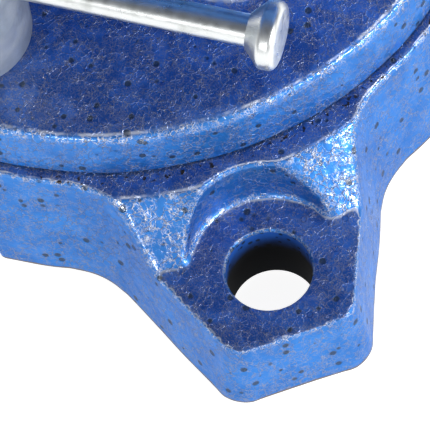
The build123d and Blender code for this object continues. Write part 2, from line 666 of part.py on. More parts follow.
for side_name, side in SIDES.items():
    with BuildPart() as handle_cap:
        with BuildSketch(Plane.XZ.offset(-handle_y)):
            with BuildLine():
                outer = side * (HANDLE_HALF_LENGTH + HANDLE_CAP_WALL)
                inner = outer - side * HANDLE_CAP_LENGTH
                rim = SPINDLE_HEIGHT + HANDLE_CAP_RADIUS
                Polyline(
                    (inner, SPINDLE_HEIGHT),
                    (inner, SPINDLE_HEIGHT + HANDLE_RADIUS + 1.5),
                    (inner + side * HANDLE_CAP_CHAMFER, rim),
                    (outer - side * HANDLE_CAP_CHAMFER, rim),
                    (outer, SPINDLE_HEIGHT + HANDLE_RADIUS),
                    (outer, SPINDLE_HEIGHT),
                    close=True,
                )
            make_face()
        revolve(axis=Axis((0, handle_y, SPINDLE_HEIGHT), (1, 0, 0)))
        with Locations(Location((inner, handle_y, SPINDLE_HEIGHT), (0, side * 90, 0))):
            Cylinder(
                HANDLE_RADIUS,
                HANDLE_CAP_LENGTH - HANDLE_CAP_WALL,
                align=(Align.CENTER, Align.CENTER, Align.MIN),
                mode=Mode.SUBTRACT,
            )
    finish(handle_cap, f"handle_cap_{side_name}")

# ---------------------------------------------------------------- pivot bolt and washer
with BuildPart() as pivot_washer:
    with BuildSketch(Plane.XY.offset(washer_top)):
        Circle(PIVOT_POCKET_RADIUS - 1)
        Circle(PIVOT_BOLT_RADIUS + 0.4, mode=Mode.SUBTRACT)
    extrude(amount=-PIVOT_WASHER_THICKNESS)
finish(pivot_washer, "pivot_washer")

with BuildPart() as pivot_bolt:
    with BuildSketch(Plane.XY.offset(washer_top - PIVOT_WASHER_THICKNESS)):
        RegularPolygon(PIVOT_HEAD_ACROSS_FLATS / 2, 6, major_radius=False)
    extrude(amount=-PIVOT_HEAD_HEIGHT)
    with BuildSketch(Plane.XY.offset(washer_top - PIVOT_WASHER_THICKNESS)):
        Circle(PIVOT_BOLT_RADIUS - 0.05)
    extrude(amount=PIVOT_BOLT_LENGTH)
finish(pivot_bolt, "pivot_bolt")

# ---------------------------------------------------------------- swivel locks
for side_name, side in SIDES.items():
    lock_x = side * LOCK_REACH
    head_top = CHANNEL_ROOF - LOCK_HEAD_GAP
    bolt_top = lock_bar_z - LOCK_BAR_RADIUS - LOCK_BOLT_BELOW_BAR
    # The bar runs fore and aft and leans towards the column at one end
    bar_frame = Location((lock_x, 0, lock_bar_z), (0, 0, LOCK_BAR_LEAN + (0 if side > 0 else 180)))

    with BuildPart() as lock_bolt:
        with Locations((lock_x, 0, head_top)):
            Box(*LOCK_BOLT_HEAD, align=(Align.CENTER, Align.CENTER, Align.MAX))
            Cylinder(
                LOCK_BOLT_RADIUS,
                bolt_top - head_top,
                align=(Align.CENTER, Align.CENTER, Align.MIN),
            )
    finish(lock_bolt, f"lock_bolt_{side_name}")

    with BuildPart() as lock_nut:
        with Locations((lock_x, 0, PLATE_TOP)):
            Cylinder(
                LOCK_NUT_RADIUS,
                LOCK_NUT_HEIGHT,
                align=(Align.CENTER, Align.CENTER, Align.MIN),
            )
        fillet(lock_nut.edges().group_by(Axis.Z)[-1], radius=LOCK_NUT_EDGE_RADIUS)
        with Locations((lock_x, 0, PLATE_TOP)):
            Cylinder(
                LOCK_BOLT_RADIUS + SHAFT_CLEARANCE,
                bolt_top - PLATE_TOP + 1.5,
                align=(Align.CENTER, Align.CENTER, Align.MIN),
                mode=Mode.SUBTRACT,
            )
        with Locations(bar_frame * Location((0, 0, 0), (90, 0, 0))):
            Cylinder(LOCK_BAR_RADIUS + SHAFT_CLEARANCE, 3 * LOCK_NUT_RADIUS, mode=Mode.SUBTRACT)
    finish(lock_nut, f"lock_nut_{side_name}")

    with BuildPart() as lock_bar:
        with Locations(bar_frame * Location((0, LOCK_BAR_REAR - 1, 0), (90, 0, 0))):
            Cylinder(
                LOCK_BAR_RADIUS,
                LOCK_BAR_REAR + LOCK_BAR_FRONT - 2,
                align=(Align.CENTER, Align.CENTER, Align.MIN),
            )
    finish(lock_bar, f"lock_bar_{side_name}")

    # Two mushroom caps pressed on the bar's ends
    with BuildPart() as lock_bar_caps:
        for end, reach in ((1, LOCK_BAR_REAR), (-1, LOCK_BAR_FRONT)):
            cap_frame = bar_frame * Location((0, end * reach, 0), (end * 90, 0, 0))
            with BuildSketch(Plane(cap_frame)):
                Circle(LOCK_CAP_RADIUS)
            extrude(amount=LOCK_CAP_RIM)
            with BuildSketch(Plane(cap_frame).offset(LOCK_CAP_RIM)):
                Circle(LOCK_CAP_RADIUS)
            with BuildSketch(Plane(cap_frame).offset(LOCK_CAP_LENGTH)):
                Circle(LOCK_BAR_RADIUS + 0.4)
            loft()
            with BuildSketch(Plane(cap_frame).offset(1)):
                Circle(LOCK_BAR_RADIUS)
            extrude(amount=LOCK_CAP_LENGTH, mode=Mode.SUBTRACT)
    finish(lock_bar_caps, f"lock_bar_caps_{side_name}")
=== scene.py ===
import json
from math import cos, pi, radians, sin, tan

import bmesh
import bpy
from mathutils import Matrix, Vector, noise


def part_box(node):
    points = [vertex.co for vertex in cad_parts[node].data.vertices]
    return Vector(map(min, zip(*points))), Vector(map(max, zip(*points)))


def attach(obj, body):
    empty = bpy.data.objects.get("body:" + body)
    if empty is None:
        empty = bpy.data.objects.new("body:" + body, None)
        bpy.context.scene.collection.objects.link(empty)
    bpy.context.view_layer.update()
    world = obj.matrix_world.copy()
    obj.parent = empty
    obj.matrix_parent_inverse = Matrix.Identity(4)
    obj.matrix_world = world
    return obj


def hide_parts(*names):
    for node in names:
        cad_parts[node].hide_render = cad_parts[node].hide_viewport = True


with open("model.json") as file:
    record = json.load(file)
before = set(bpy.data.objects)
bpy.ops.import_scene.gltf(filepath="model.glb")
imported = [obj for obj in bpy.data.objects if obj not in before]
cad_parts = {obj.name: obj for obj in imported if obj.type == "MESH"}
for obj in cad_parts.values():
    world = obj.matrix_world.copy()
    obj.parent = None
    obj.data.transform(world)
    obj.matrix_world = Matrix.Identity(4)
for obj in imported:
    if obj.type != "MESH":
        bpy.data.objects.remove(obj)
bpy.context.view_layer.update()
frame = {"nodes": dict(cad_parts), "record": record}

MM = 0.001
UP = Vector((0, 0, 1))

# ---------------------------------------------------------------- places taken from the frame
nodes = frame["nodes"]
base_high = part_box("swivel_base")[1]
body_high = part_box("fixed_jaw_body")[1]
jaw_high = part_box("sliding_jaw")[1]
fixed_plate_low, fixed_plate_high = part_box("fixed_jaw_plate")
sliding_plate_low, sliding_plate_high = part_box("sliding_jaw_plate")
spindle_low, spindle_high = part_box("spindle")
washer_low, washer_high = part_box("thrust_washer")
collar_low, collar_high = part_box("retaining_collar")
spring_low, spring_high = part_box("spindle_spring")
handle_low, handle_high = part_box("spindle_handle")

SIDES = {"right": 1, "left": -1}
SPINDLE_Z = (washer_low.z + washer_high.z) / 2
BASE_TOP = base_high.z
FAR = 0.3  # metres, past the whole vise
WIDE = 0.2  # metres, past its sides

# ---------------------------------------------------------------- sizes in metres
RUN_ON = 3 * MM  # how far a machined face stands proud before it is cut
RUNNING_GAP = 0.3 * MM
BEAM_HALF_WIDTH = 21 * MM
BEAM_BOTTOM = 76 * MM
BEAM_TOP = 112 * MM
BEAM_HOLLOW_HALF_WIDTH = 14 * MM
BEAM_HOLLOW_TOP = 103 * MM
BEAM_EDGE = 0.9 * MM
JAW_CLEARANCE = 0.3 * MM  # how far each jaw's casting lies behind its plate's face
JAW_FACE_BOTTOM = 64 * MM  # below the housing and above the swivel plate
ANVIL_TOP = 131 * MM
ANVIL_FRONT = 24 * MM
ABOVE_ANVIL = 0.3 * MM  # how far over the anvil the rib's paint ends
ANVIL_CUT_HALF_WIDTH = 40 * MM  # wider than the anvil
ANVIL_CUT_REAR = 90 * MM  # behind the anvil
ANVIL_CUT_HEIGHT = 10 * MM
RIB_HALF_WIDTH = 20.4 * MM
RIB_CUT_HALF_WIDTH = 30 * MM
RIB_CUT_REAR = 50 * MM
TUNNEL_START = 2 * MM  # how far behind the jaw's front the beam's tunnel is plugged
TUNNEL_PAST = 30 * MM  # how far the tunnel's cutter reaches past its plug
RIB_FOOT = 29.8 * MM  # where the rib behind the jaw comes down to the anvil
RIB_SLOPE = 22 / 18  # how far the rib goes back for each millimetre down
COLUMN_CORE_RADIUS = 17 * MM  # run-on faces inside it stay where they are
LUG_BEARING = 48
LUG_HOLE_REACH = 78.1 * MM
LOCK_REACH = 45.3 * MM
LOCK_BAR_LEAN = 14.4
LOCK_BAR_Z = 54 * MM
LOCK_BAR_REAR = 53.5 * MM
LOCK_BAR_FRONT = 46.5 * MM
JAW_SCREW_SPREAD = 36 * MM
COUNTERSINK_CLEAR = 9.5 * MM  # no tooth nearer to a screw's middle than this
TEETH_ACROSS = 50
TEETH_UP = 9

# ---------------------------------------------------------------- sizes in millimetres, for turned profiles
SEAT_PAST = 2  # how far a jaw plate's seat is cut past the casting's sides
SEAT_UNDER = 0.1  # the gap under a jaw plate
LUG_HOLE_RADIUS = 7
LUG_THICKNESS = 14.6
HOLE_RIM_RADIUS = 9.5
HOLE_RIM_DEPTH = 0.8
PAST_END = 4  # how far a lug's cutters reach past its faces
PIVOT_SPIGOT_RADIUS = 15.9
PLATE_SEAT_RADIUS = 59  # the swivel plate bears on the base inside this, and is relieved outside it
PLATE_SEAT_Z = 24.03
PLATE_RELIEF_Z = 24.5
SEAM_RADIUS = 62.2  # just outside the swivel plate
SEAM_Z = 24
THREAD_START = 28  # how far ahead of the swivel axis the thread starts
THREAD_LEAD = 5
THREAD_ROOT_RADIUS = 8.7
SPINDLE_RADIUS = 10
SPINDLE_GROOVE_RADIUS = 15.8
HEAD_RADIUS = 17
BAR_RADIUS = 6.5
COLLAR_RADIUS = 12.6
COLLAR_PIN_RADIUS = 1.5
SPRING_MIDDLE_RADIUS = 11.5
SPRING_WIRE_RADIUS = 1.05
SPRING_TURNS = 4
CAP_RADIUS = 10
LOCK_NUT_RADIUS = 10.46
LOCK_BAR_RADIUS = 2.6
LOCK_BAR_UNDER = 1  # how far a bar's end lies below its cap's outer face
LOCK_CAP_RADIUS = 5.6


# ---------------------------------------------------------------- finishes
class Finish:
    """A node material that reads the piece's own coordinates in millimetres."""

    def __init__(self, name, colour, **sockets):
        self.material = bpy.data.materials.new(name)
        self.material.use_nodes = True
        self.material.diffuse_color = (*colour, 1)
        self.tree = self.material.node_tree
        self.shader = self.tree.nodes["Principled BSDF"]
        self.shader.inputs["Base Color"].default_value = (*colour, 1)
        for socket, value in sockets.items():
            self.shader.inputs[socket.replace("_", " ")].default_value = value
        self.coordinates = self.tree.nodes.new("ShaderNodeTexCoord")
        place = (self.coordinates.outputs["Object"], (1 / MM, 1 / MM, 1 / MM))
        self.place = self.node("ShaderNodeVectorMath", place, operation="MULTIPLY")

    def node(self, kind, values=(), output=0, **settings):
        """Adds a node, sets or links its inputs in order, or by name from a dict, and returns one output."""
        made = self.tree.nodes.new(kind)
        for key, value in settings.items():
            setattr(made, key, value)
        pairs = values.items() if isinstance(values, dict) else enumerate(values)
        for key, value in pairs:
            if isinstance(value, bpy.types.NodeSocket):
                self.tree.links.new(value, made.inputs[key])
            elif value is not None:
                made.inputs[key].default_value = value
        return made.outputs[output]

    def drive(self, socket, value):
        """Links a value to one of the shader's own sockets."""
        self.tree.links.new(value, self.shader.inputs[socket])

    def math(self, operation, a, b=0.0):
        return self.node("ShaderNodeMath", (a, b), operation=operation)

    def noise(self, size, detail=2.0, place=None, output="Fac"):
        values = {"Vector": place or self.place, "Scale": 1 / size, "Detail": detail}
        return self.node("ShaderNodeTexNoise", values, output)

    def cells(self, size, feature="F1", place=None, output="Distance"):
        values = {"Vector": place or self.place, "Scale": 1 / size}
        return self.node("ShaderNodeTexVoronoi", values, output, feature=feature)

    def between(self, value, low, high, start=0.0, end=1.0):
        """value from low to high, eased, as start to end."""
        values = (value, low, high, start, end)
        return self.node("ShaderNodeMapRange", values, interpolation_type="SMOOTHSTEP")

    def blend(self, factor, a, b):
        a, b = ((*c, 1) if isinstance(c, tuple) else c for c in (a, b))
        made = self.tree.nodes.new("ShaderNodeMix")
        made.data_type = "RGBA"
        for key, value in ((0, factor), (6, a), (7, b)):
            if isinstance(value, bpy.types.NodeSocket):
                self.tree.links.new(value, made.inputs[key])
            else:
                made.inputs[key].default_value = value
        return made.outputs[2]

    def warped(self, size, amount):
        """The piece's coordinates, pushed about by a noise of that size."""
        push = self.noise(size, 2.0, output="Color")
        push = self.node("ShaderNodeVectorMath", (push, (0.5, 0.5, 0.5)), operation="SUBTRACT")
        push = self.node("ShaderNodeVectorMath", {0: push, "Scale": 2 * amount}, operation="SCALE")
        return self.node("ShaderNodeVectorMath", (self.place, push), operation="ADD")

    def facing_up(self, low, high, start=0.0, end=1.0):
        """How far the skin faces up, from low to high, as start to end."""
        normal = self.node("ShaderNodeSeparateXYZ", (self.coordinates.outputs["Normal"],), "Z")
        return self.between(normal, low, high, start, end)

    def bump(self, height, depth, strength=1.0, normal=None):
        """A normal for a height from 0 to 1 that stands for depth millimetres."""
        values = {"Strength": strength, "Distance": depth * MM, "Height": height, "Normal": normal}
        return self.node("ShaderNodeBump", values)


def all_of(paint, *masks):
    """The product of several masks."""
    product = masks[0]
    for mask in masks[1:]:
        product = paint.math("MULTIPLY", product, mask)
    return product


def enamel_threads(paint, curled):
    """The wide and the fine web of pale threads in the enamel, each in patches."""
    web = paint.cells(1.25, "DISTANCE_TO_EDGE", curled)
    patches = paint.between(paint.noise(2.4), 0.36, 0.56)
    threads = all_of(paint, paint.between(web, 0.0, 0.08, 1.0, 0.0), patches)
    fine_web = paint.cells(0.55, "DISTANCE_TO_EDGE", paint.warped(0.55, 0.42))
    fine_patches = paint.between(paint.noise(1.5), 0.42, 0.58)
    fine_threads = all_of(paint, paint.between(fine_web, 0.0, 0.13, 1.0, 0.0), fine_patches)
    return threads, fine_threads


def enamel_pits(paint):
    """Round grey pits of uneven size, left by gas in the casting."""
    distance = paint.cells(2.5, place=paint.warped(0.9, 0.14))
    chance = paint.node("ShaderNodeSeparateColor", (paint.cells(2.5, output="Color"),), 0)
    radius = paint.between(chance, 0.1, 0.8, 0.0, 0.26)
    return paint.between(paint.math("SUBTRACT", radius, distance), -0.03, 0.08)


def enamel_bubbles(paint, up):
    """Thin dark rings of burst bubbles on level skin."""
    distance = paint.cells(3.2, place=paint.warped(0.9, 0.14))
    off_ring = paint.math("ABSOLUTE", paint.math("SUBTRACT", distance, 0.15))
    patches = paint.between(paint.noise(6.0), 0.4, 0.55)
    return all_of(paint, paint.between(off_ring, 0.015, 0.05, 1.0, 0.0), patches, up, 0.6)


def enamel_grain_and_painted_shade(paint, up):
    """Painted shade: a bright blue on the sides and a deeper blue on level skin, for how the light falls on
    each; with tan grain on level skin.
    """
    clouds = paint.between(paint.noise(7.0, 3.0), 0.35, 0.65)
    # painted light: the sides get a lit blue and the level skin a shaded blue
    painted_lit_sides = paint.blend(clouds, (0.025, 0.175, 0.54), (0.035, 0.225, 0.65))
    deep = paint.between(paint.noise(4.5, 4.0, paint.warped(6.0, 3.0)), 0.4, 0.62)
    painted_shaded_tops = paint.blend(deep, (0.026, 0.105, 0.41), (0.052, 0.18, 0.61))
    grain = paint.between(paint.noise(0.24, 3.0), 0.5, 0.66)
    grain_patches = paint.between(paint.noise(2.0, 3.0), 0.4, 0.6, 0.25, 1.0)
    grain = all_of(paint, grain, up, grain_patches, 0.5)
    return paint.blend(grain, paint.blend(up, painted_lit_sides, painted_shaded_tops), (0.42, 0.39, 0.34))


def painted_highlights(paint, sloping, web):
    """Painted highlights: a pale web on slopes, and pale lines along upper edges, where light glints on the
    glossy enamel.
    """
    slopes = all_of(paint, sloping, paint.between(paint.noise(1.6, 3.0), 0.42, 0.6, 0.25, 0.75), web)
    edges = all_of(paint, paint.facing_up(0.82, 0.86), paint.facing_up(0.9, 0.95, 1.0, 0.0))
    edges = all_of(paint, edges, paint.between(paint.noise(4.0), 0.42, 0.58, 0.05, 0.6))
    return paint.math("MAXIMUM", slopes, edges)


def seam_specks(paint, height):
    """Brown specks on the base's ledge, close round the swivel plate."""
    across = paint.node("ShaderNodeSeparateXYZ", (paint.place,), "X")
    along = paint.node("ShaderNodeSeparateXYZ", (paint.place,), "Y")
    reach = paint.math("ADD", paint.math("POWER", across, 2.0), paint.math("POWER", along, 2.0))
    off_seam = paint.math("ABSOLUTE", paint.math("SUBTRACT", paint.math("SQRT", reach), SEAM_RADIUS))
    specks = paint.between(paint.noise(1.4, 3.0), 0.57, 0.63)
    specks = all_of(paint, specks, paint.between(off_seam, 0.4, 0.9, 1.0, 0.0))
    above = paint.between(height, SEAM_Z - 1.0, SEAM_Z - 0.4)
    below = paint.between(height, SEAM_Z + 0.2, SEAM_Z + 0.6, 1.0, 0.0)
    return all_of(paint, specks, above, below)


def hammertone():
    """Blue hammer enamel on cast iron: a web of fine pale threads, grey pits and a glassy, dimpled skin."""
    paint = Finish(
        "blue_hammertone",
        (0.02, 0.19, 0.72),
        Metallic=0.75,
        Specular_IOR_Level=0.35,
        Specular_Tint=(0.2, 0.42, 0.85, 1.0),
        Coat_Roughness=0.1,
        Coat_IOR=1.5,
    )
    up = paint.facing_up(0.74, 0.97)
    leaning = paint.facing_up(0.2, 0.45)
    sloping = all_of(paint, leaning, paint.math("SUBTRACT", 1.0, paint.facing_up(0.84, 0.94)))
    curled = paint.warped(1.0, 0.75)
    threads, fine_threads = enamel_threads(paint, curled)
    pits = enamel_pits(paint)
    height = paint.node("ShaderNodeSeparateXYZ", (paint.place,), "Z")

    colour = enamel_grain_and_painted_shade(paint, up)
    colour = paint.blend(enamel_bubbles(paint, up), colour, (0.012, 0.045, 0.25))
    threads_seen = all_of(paint, threads, paint.between(up, 0.0, 1.0, 0.52, 0.34))
    colour = paint.blend(threads_seen, colour, (0.36, 0.34, 0.36))
    colour = paint.blend(all_of(paint, fine_threads, 0.45), colour, (0.36, 0.35, 0.4))
    flecks = all_of(paint, paint.between(paint.noise(0.45, 3.0), 0.68, 0.74), up, 0.7)
    colour = paint.blend(flecks, colour, (0.6, 0.48, 0.32))
    colour = paint.blend(all_of(paint, pits, 0.85), colour, (0.035, 0.05, 0.07))
    web = paint.math("MAXIMUM", threads, fine_threads)
    # painted highlight: a pale web on slopes and pale lines on upper edges
    colour = paint.blend(painted_highlights(paint, sloping, web), colour, (0.8, 0.83, 0.9))
    frayed = paint.math("ADD", height, all_of(paint, paint.noise(3.0), 0.5))
    bare_foot = paint.between(frayed, 0.45, 0.75, 1.0, 0.0)
    colour = paint.blend(bare_foot, colour, (0.2, 0.15, 0.11))
    colour = paint.blend(seam_specks(paint, height), colour, (0.035, 0.022, 0.014))
    paint.drive("Base Color", colour)
    paint.drive("Roughness", paint.between(paint.noise(1.1), 0.3, 0.7, 0.4, 0.56))
    paint.drive("Coat Weight", paint.between(leaning, 0.0, 1.0, 0.35, 1.0))

    dimples = paint.cells(1.5, "SMOOTH_F1", curled)
    dimples = all_of(paint, dimples, paint.between(sloping, 0.0, 1.0, 1.0, 0.3))
    ripples = all_of(paint, paint.noise(1.2), paint.math("SUBTRACT", 1.0, up))
    relief = paint.bump(dimples, 0.2, 0.55)
    relief = paint.bump(threads, 0.09, 1.0, relief)
    relief = paint.bump(pits, -0.2, 0.7, relief)
    relief = paint.bump(ripples, 0.14, 0.6, relief)
    relief = paint.bump(paint.noise(5.0), 0.4, 0.5, relief)
    paint.drive("Normal", relief)
    paint.drive("Coat Normal", relief)
    return paint.material


def bore_painted_shade():
    """A lug's bolt hole: blue at the rim, fading to near-black below, a painted shade deep in the hole."""
    bore = Finish("bore_painted_shade", (0.02, 0.022, 0.026), Roughness=0.8, Specular_IOR_Level=0.05)
    height = bore.node("ShaderNodeSeparateXYZ", (bore.place,), "Z")
    height = bore.math("ADD", height, bore.math("MULTIPLY", bore.noise(2.5), 2.0))
    blue = bore.between(height, 9.5, 15.8)
    specks = bore.between(bore.cells(1.6, place=bore.warped(1.0, 0.2)), 0.2, 0.3)
    shade = bore.blend(specks, (0.01, 0.03, 0.08), (0.015, 0.1, 0.45))
    # painted shade: near-black below the blue rim
    bore.drive("Base Color", bore.blend(blue, (0.003, 0.004, 0.006), shade))
    return bore.material


def bright_zinc():
    """Bright zinc plate with a faint grain and small stains."""
    zinc = Finish("zinc_plate", (0.72, 0.74, 0.74), Metallic=1.0)
    stains = zinc.between(zinc.noise(3.5, 4.0), 0.45, 0.7)
    zinc.drive("Base Color", zinc.blend(stains, (0.78, 0.8, 0.79), (0.6, 0.62, 0.6)))
    zinc.drive("Roughness", zinc.between(zinc.noise(1.6, 4.0), 0.3, 0.7, 0.27, 0.38))
    zinc.drive("Normal", zinc.bump(zinc.noise(2.0, 2.0), 0.012, 0.6))
    return zinc.material


def dull_zinc():
    """Dull blue-grey zinc plate, as on a part tumbled in the bath."""
    zinc = Finish("dull_zinc", (0.4, 0.45, 0.5), Metallic=0.75)
    clouds = zinc.between(zinc.noise(6.0, 4.0), 0.35, 0.7)
    zinc.drive("Base Color", zinc.blend(clouds, (0.38, 0.43, 0.48), (0.5, 0.54, 0.57)))
    zinc.drive("Roughness", zinc.between(zinc.noise(2.2, 4.0), 0.3, 0.7, 0.46, 0.6))
    zinc.drive("Normal", zinc.bump(zinc.noise(0.5, 4.0), 0.03, 0.6))
    return zinc.material


def machined_steel(name, tone, streak):
    """Turned or ground steel with fine tool marks, long in the direction whose streak value is small."""
    steel = Finish(name, (tone, tone, tone), Metallic=1.0)
    marks = steel.node("ShaderNodeVectorMath", (steel.place, streak), operation="MULTIPLY")
    marks = steel.noise(6.0, 3.0, marks)
    stains = steel.between(steel.noise(9.0, 4.0), 0.4, 0.7)
    light, dark = (tone * 1.08,) * 3, (tone * 0.72, tone * 0.7, tone * 0.66)
    steel.drive("Base Color", steel.blend(stains, light, dark))
    steel.drive("Roughness", steel.between(marks, 0.3, 0.7, 0.22, 0.42))
    steel.drive("Normal", steel.bump(marks, 0.02, 0.6))
    return steel.material


def black_steel():
    """Black oxide on fasteners and springs."""
    oxide = Finish("black_steel", (0.04, 0.04, 0.043), Metallic=0.8)
    worn = oxide.between(oxide.noise(1.5, 4.0), 0.55, 0.8)
    oxide.drive("Base Color", oxide.blend(worn, (0.035, 0.035, 0.038), (0.14, 0.14, 0.14)))
    oxide.drive("Roughness", oxide.between(oxide.noise(2.0, 3.0), 0.3, 0.7, 0.35, 0.55))
    return oxide.material


def raw_cast_iron():
    """Bare cast iron with a sandy skin."""
    iron = Finish("raw_cast_iron", (0.16, 0.16, 0.16), Metallic=0.7)
    sand = iron.noise(0.8, 5.0)
    iron.drive("Base Color", iron.blend(iron.between(sand, 0.4, 0.7), (0.1, 0.1, 0.1), (0.24, 0.23, 0.22)))
    iron.drive("Roughness", iron.between(sand, 0.3, 0.7, 0.5, 0.75))
    iron.drive("Normal", iron.bump(sand, 0.12, 0.7))
    return iron.material


FINISHES = {
    "bore_painted_shade": bore_painted_shade(),
    "blue_hammertone": hammertone(),
    "zinc_plate": bright_zinc(),
    "dull_zinc": dull_zinc(),
    "bright_steel": machined_steel("bright_steel", 0.5, (1.5, 40.0, 1.5)),
    "hardened_steel": machined_steel("hardened_steel", 0.34, (1.2, 40.0, 40.0)),
    "black_steel": black_steel(),
    "raw_cast_iron": raw_cast_iron(),
}
slot_of = {part["node"]: part["material_slot"] for part in frame["record"]["subparts"]}
body_of = {n: body for body, members in frame["record"]["behaviour"]["bodies"].items() for n in members}


# ---------------------------------------------------------------- making pieces
def as_mesh(name, shape, finish=None):
    """A mesh from a bmesh, which is used up, with a finish if one is given."""
    mesh = bpy.data.meshes.new(name)
    shape.to_mesh(mesh)
    shape.free()
    if finish:
        mesh.materials.append(FINISHES[finish])
    return mesh


def piece(name, mesh, *replaced, body=None, slot=None, sharp=35):
    """A finished piece of the vise from a mesh or bmesh. It rides with the nodes it stands for."""
    if isinstance(mesh, bmesh.types.BMesh):
        mesh = as_mesh(name, mesh)
    slot = slot or slot_of[replaced[0]]
    if not mesh.materials:
        mesh.materials.append(FINISHES[slot])
    mesh.shade_smooth()
    mesh.set_sharp_from_angle(angle=radians(sharp))
    made = bpy.data.objects.new(name, mesh)
    bpy.context.scene.collection.objects.link(made)
    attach(made, body or body_of[replaced[0]])
    if replaced:
        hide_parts(*replaced)


def block(shape, low, high):
    """Adds a box between two corners to a bmesh and returns its vertices."""
    low, high = Vector(low), Vector(high)
    place = Matrix.Translation((low + high) / 2) @ Matrix.Diagonal((*(high - low), 1))
    return bmesh.ops.create_cube(shape, size=1, matrix=place)["verts"]


def soften(shape, width, angle=30, segments=3):
    """Rounds every edge sharper than angle."""
    edges = [e for e in shape.edges if len(e.link_faces) == 2 and e.calc_face_angle() > radians(angle)]
    bmesh.ops.bevel(
        shape,
        geom=edges,
        offset=width,
        segments=segments,
        profile=0.5,
        affect="EDGES",
        clamp_overlap=True,
        material=-1,
    )


def rounded(corners, steps=4):
    """An outline through (x, y, corner radius) corners, with an arc in place of each rounded one."""
    points = []
    for number, (x, y, radius) in enumerate(corners):
        here = Vector((x, y))
        if not radius:
            points.append(here)
            continue
        before = (Vector(corners[number - 1][:2]) - here).normalized()
        after = (Vector(corners[number + 1][:2]) - here).normalized()
        half = before.angle(after) / 2
        centre = here + (before + after).normalized() * radius / sin(half)
        first, last = (here + way * radius / tan(half) - centre for way in (before, after))
        for step in range(steps + 1):
            points.append(centre + first.lerp(last, step / steps).normalized() * radius)
    return points


def turned(profile, centre, axis, steps=72, shape=None):
    """A lathe-turned solid. The profile is (radius, distance along the axis) in millimetres, and is closed
    or ends on the axis."""
    shape = shape or bmesh.new()
    axis = Vector(axis).normalized()
    side = axis.orthogonal().normalized()
    centre = Vector(centre)
    corners = [shape.verts.new(centre + side * r * MM + axis * t * MM) for r, t in profile]
    edges = [shape.edges.new(pair) for pair in zip(corners, corners[1:])]
    bmesh.ops.spin(
        shape,
        geom=corners + edges,
        cent=centre,
        axis=axis,
        angle=2 * pi,
        steps=steps,
        use_merge=True,
    )
    bmesh.ops.remove_doubles(shape, verts=shape.verts, dist=1e-7)
    bmesh.ops.recalc_face_normals(shape, faces=shape.faces)
    return shape


def bar_profile(radius, low, high):
    """The profile of a plain round bar."""
    return [(0, low), (radius, low), (radius, high), (0, high)]


def coiled(section, centre, axis, lead, turns, steps=24, shape=None):
    """A closed section of (radius, distance along the axis) in millimetres, wound as a helix."""
    shape = shape or bmesh.new()
    axis = Vector(axis).normalized()
    side = axis.orthogonal().normalized()
    centre = Vector(centre)
    corners = [shape.verts.new(centre + side * r * MM + axis * t * MM) for r, t in section]
    edges = [shape.edges.new(pair) for pair in zip(corners, corners[1:] + corners[:1])]
    start = shape.faces.new(corners)
    count = round(steps * turns)
    bmesh.ops.spin(
        shape,
        geom=corners + edges,
        cent=centre,
        axis=axis,
        angle=2 * pi * count / steps,
        dvec=axis * lead * MM / steps,
        steps=count,
    )
    open_edges = [e for e in shape.edges if len(e.link_faces) == 1 and e not in start.edges[:]]
    bmesh.ops.holes_fill(shape, edges=open_edges, sides=len(section))
    bmesh.ops.recalc_face_normals(shape, faces=shape.faces)
    return shape


def baked(thing, name):
    """The object's mesh with its modifiers applied. The object is removed."""
    bpy.context.view_layer.update()
    graph = bpy.context.evaluated_depsgraph_get()
    mesh = bpy.data.meshes.new_from_object(thing.evaluated_get(graph))
    bpy.data.objects.remove(thing)
    mesh.name = name
    return mesh


def scratch(name, shape, material=None):
    """A temporary object from a mesh or a bmesh."""
    if isinstance(shape, bmesh.types.BMesh):
        shape = as_mesh(name, shape)
    if material:
        shape.materials.append(material)
    made = bpy.data.objects.new(name, shape)
    bpy.context.scene.collection.objects.link(made)
    return made


def casting(name, node, voxel, rounds, plugs=(), run_on=(), keep=0.5):
    """A casting with soft edges and hollows, from a CAD node. Its openings are plugged and each machined
    face, given as (height, new height), is run on first, so that both can be cut crisp afterwards."""
    shape = bmesh.new()
    shape.from_mesh(nodes[node].data)
    bmesh.ops.remove_doubles(shape, verts=shape.verts, dist=1e-6)
    for height, new_height in run_on:
        for v in shape.verts:
            if abs(v.co.z - height) < 0.6 * MM and v.co.xy.length > COLUMN_CORE_RADIUS:
                v.co.z = new_height
    for low, high in plugs:
        block(shape, low, high)
    made = scratch(name, shape)
    made.data.materials.clear()
    made.data.materials.append(FINISHES["blue_hammertone"])
    remesh = made.modifiers.new("Remesh", "REMESH")
    remesh.mode = "VOXEL"
    remesh.voxel_size = voxel
    smooth = made.modifiers.new("Smooth", "SMOOTH")
    smooth.factor = 0.5
    smooth.iterations = rounds
    thin = made.modifiers.new("Thin", "DECIMATE")
    thin.ratio = keep
    return baked(made, name)


def unevenness(mesh, size, depth, seed):
    """Pushes a casting's skin in and out a little, as sand moulds do."""
    shape = bmesh.new()
    shape.from_mesh(mesh)
    shape.normal_update()
    offset = Vector((seed, 2 * seed, 3 * seed))
    for v in shape.verts:
        v.co += v.normal * depth * noise.noise(v.co / size + offset)
    shape.to_mesh(mesh)
    shape.free()


def cut(mesh, name, cutters):
    """Takes each (bmesh, material) away from a mesh. The cut faces get the cutter's material."""
    thing = scratch(name, mesh)
    made = []
    for number, (shape, material) in enumerate(cutters):
        cutter = scratch(f"cutter_{number}", shape, material)
        boolean = thing.modifiers.new(f"Cut{number}", "BOOLEAN")
        boolean.operation = "DIFFERENCE"
        boolean.solver = "EXACT"
        boolean.material_mode = "TRANSFER"
        boolean.object = cutter
        made.append(cutter)
    mesh = baked(thing, name)
    for cutter in made:
        bpy.data.objects.remove(cutter)
    return mesh


def box_shape(low, high):
    """A box between two corners, as a bmesh of its own."""
    shape = bmesh.new()
    block(shape, low, high)
    return shape


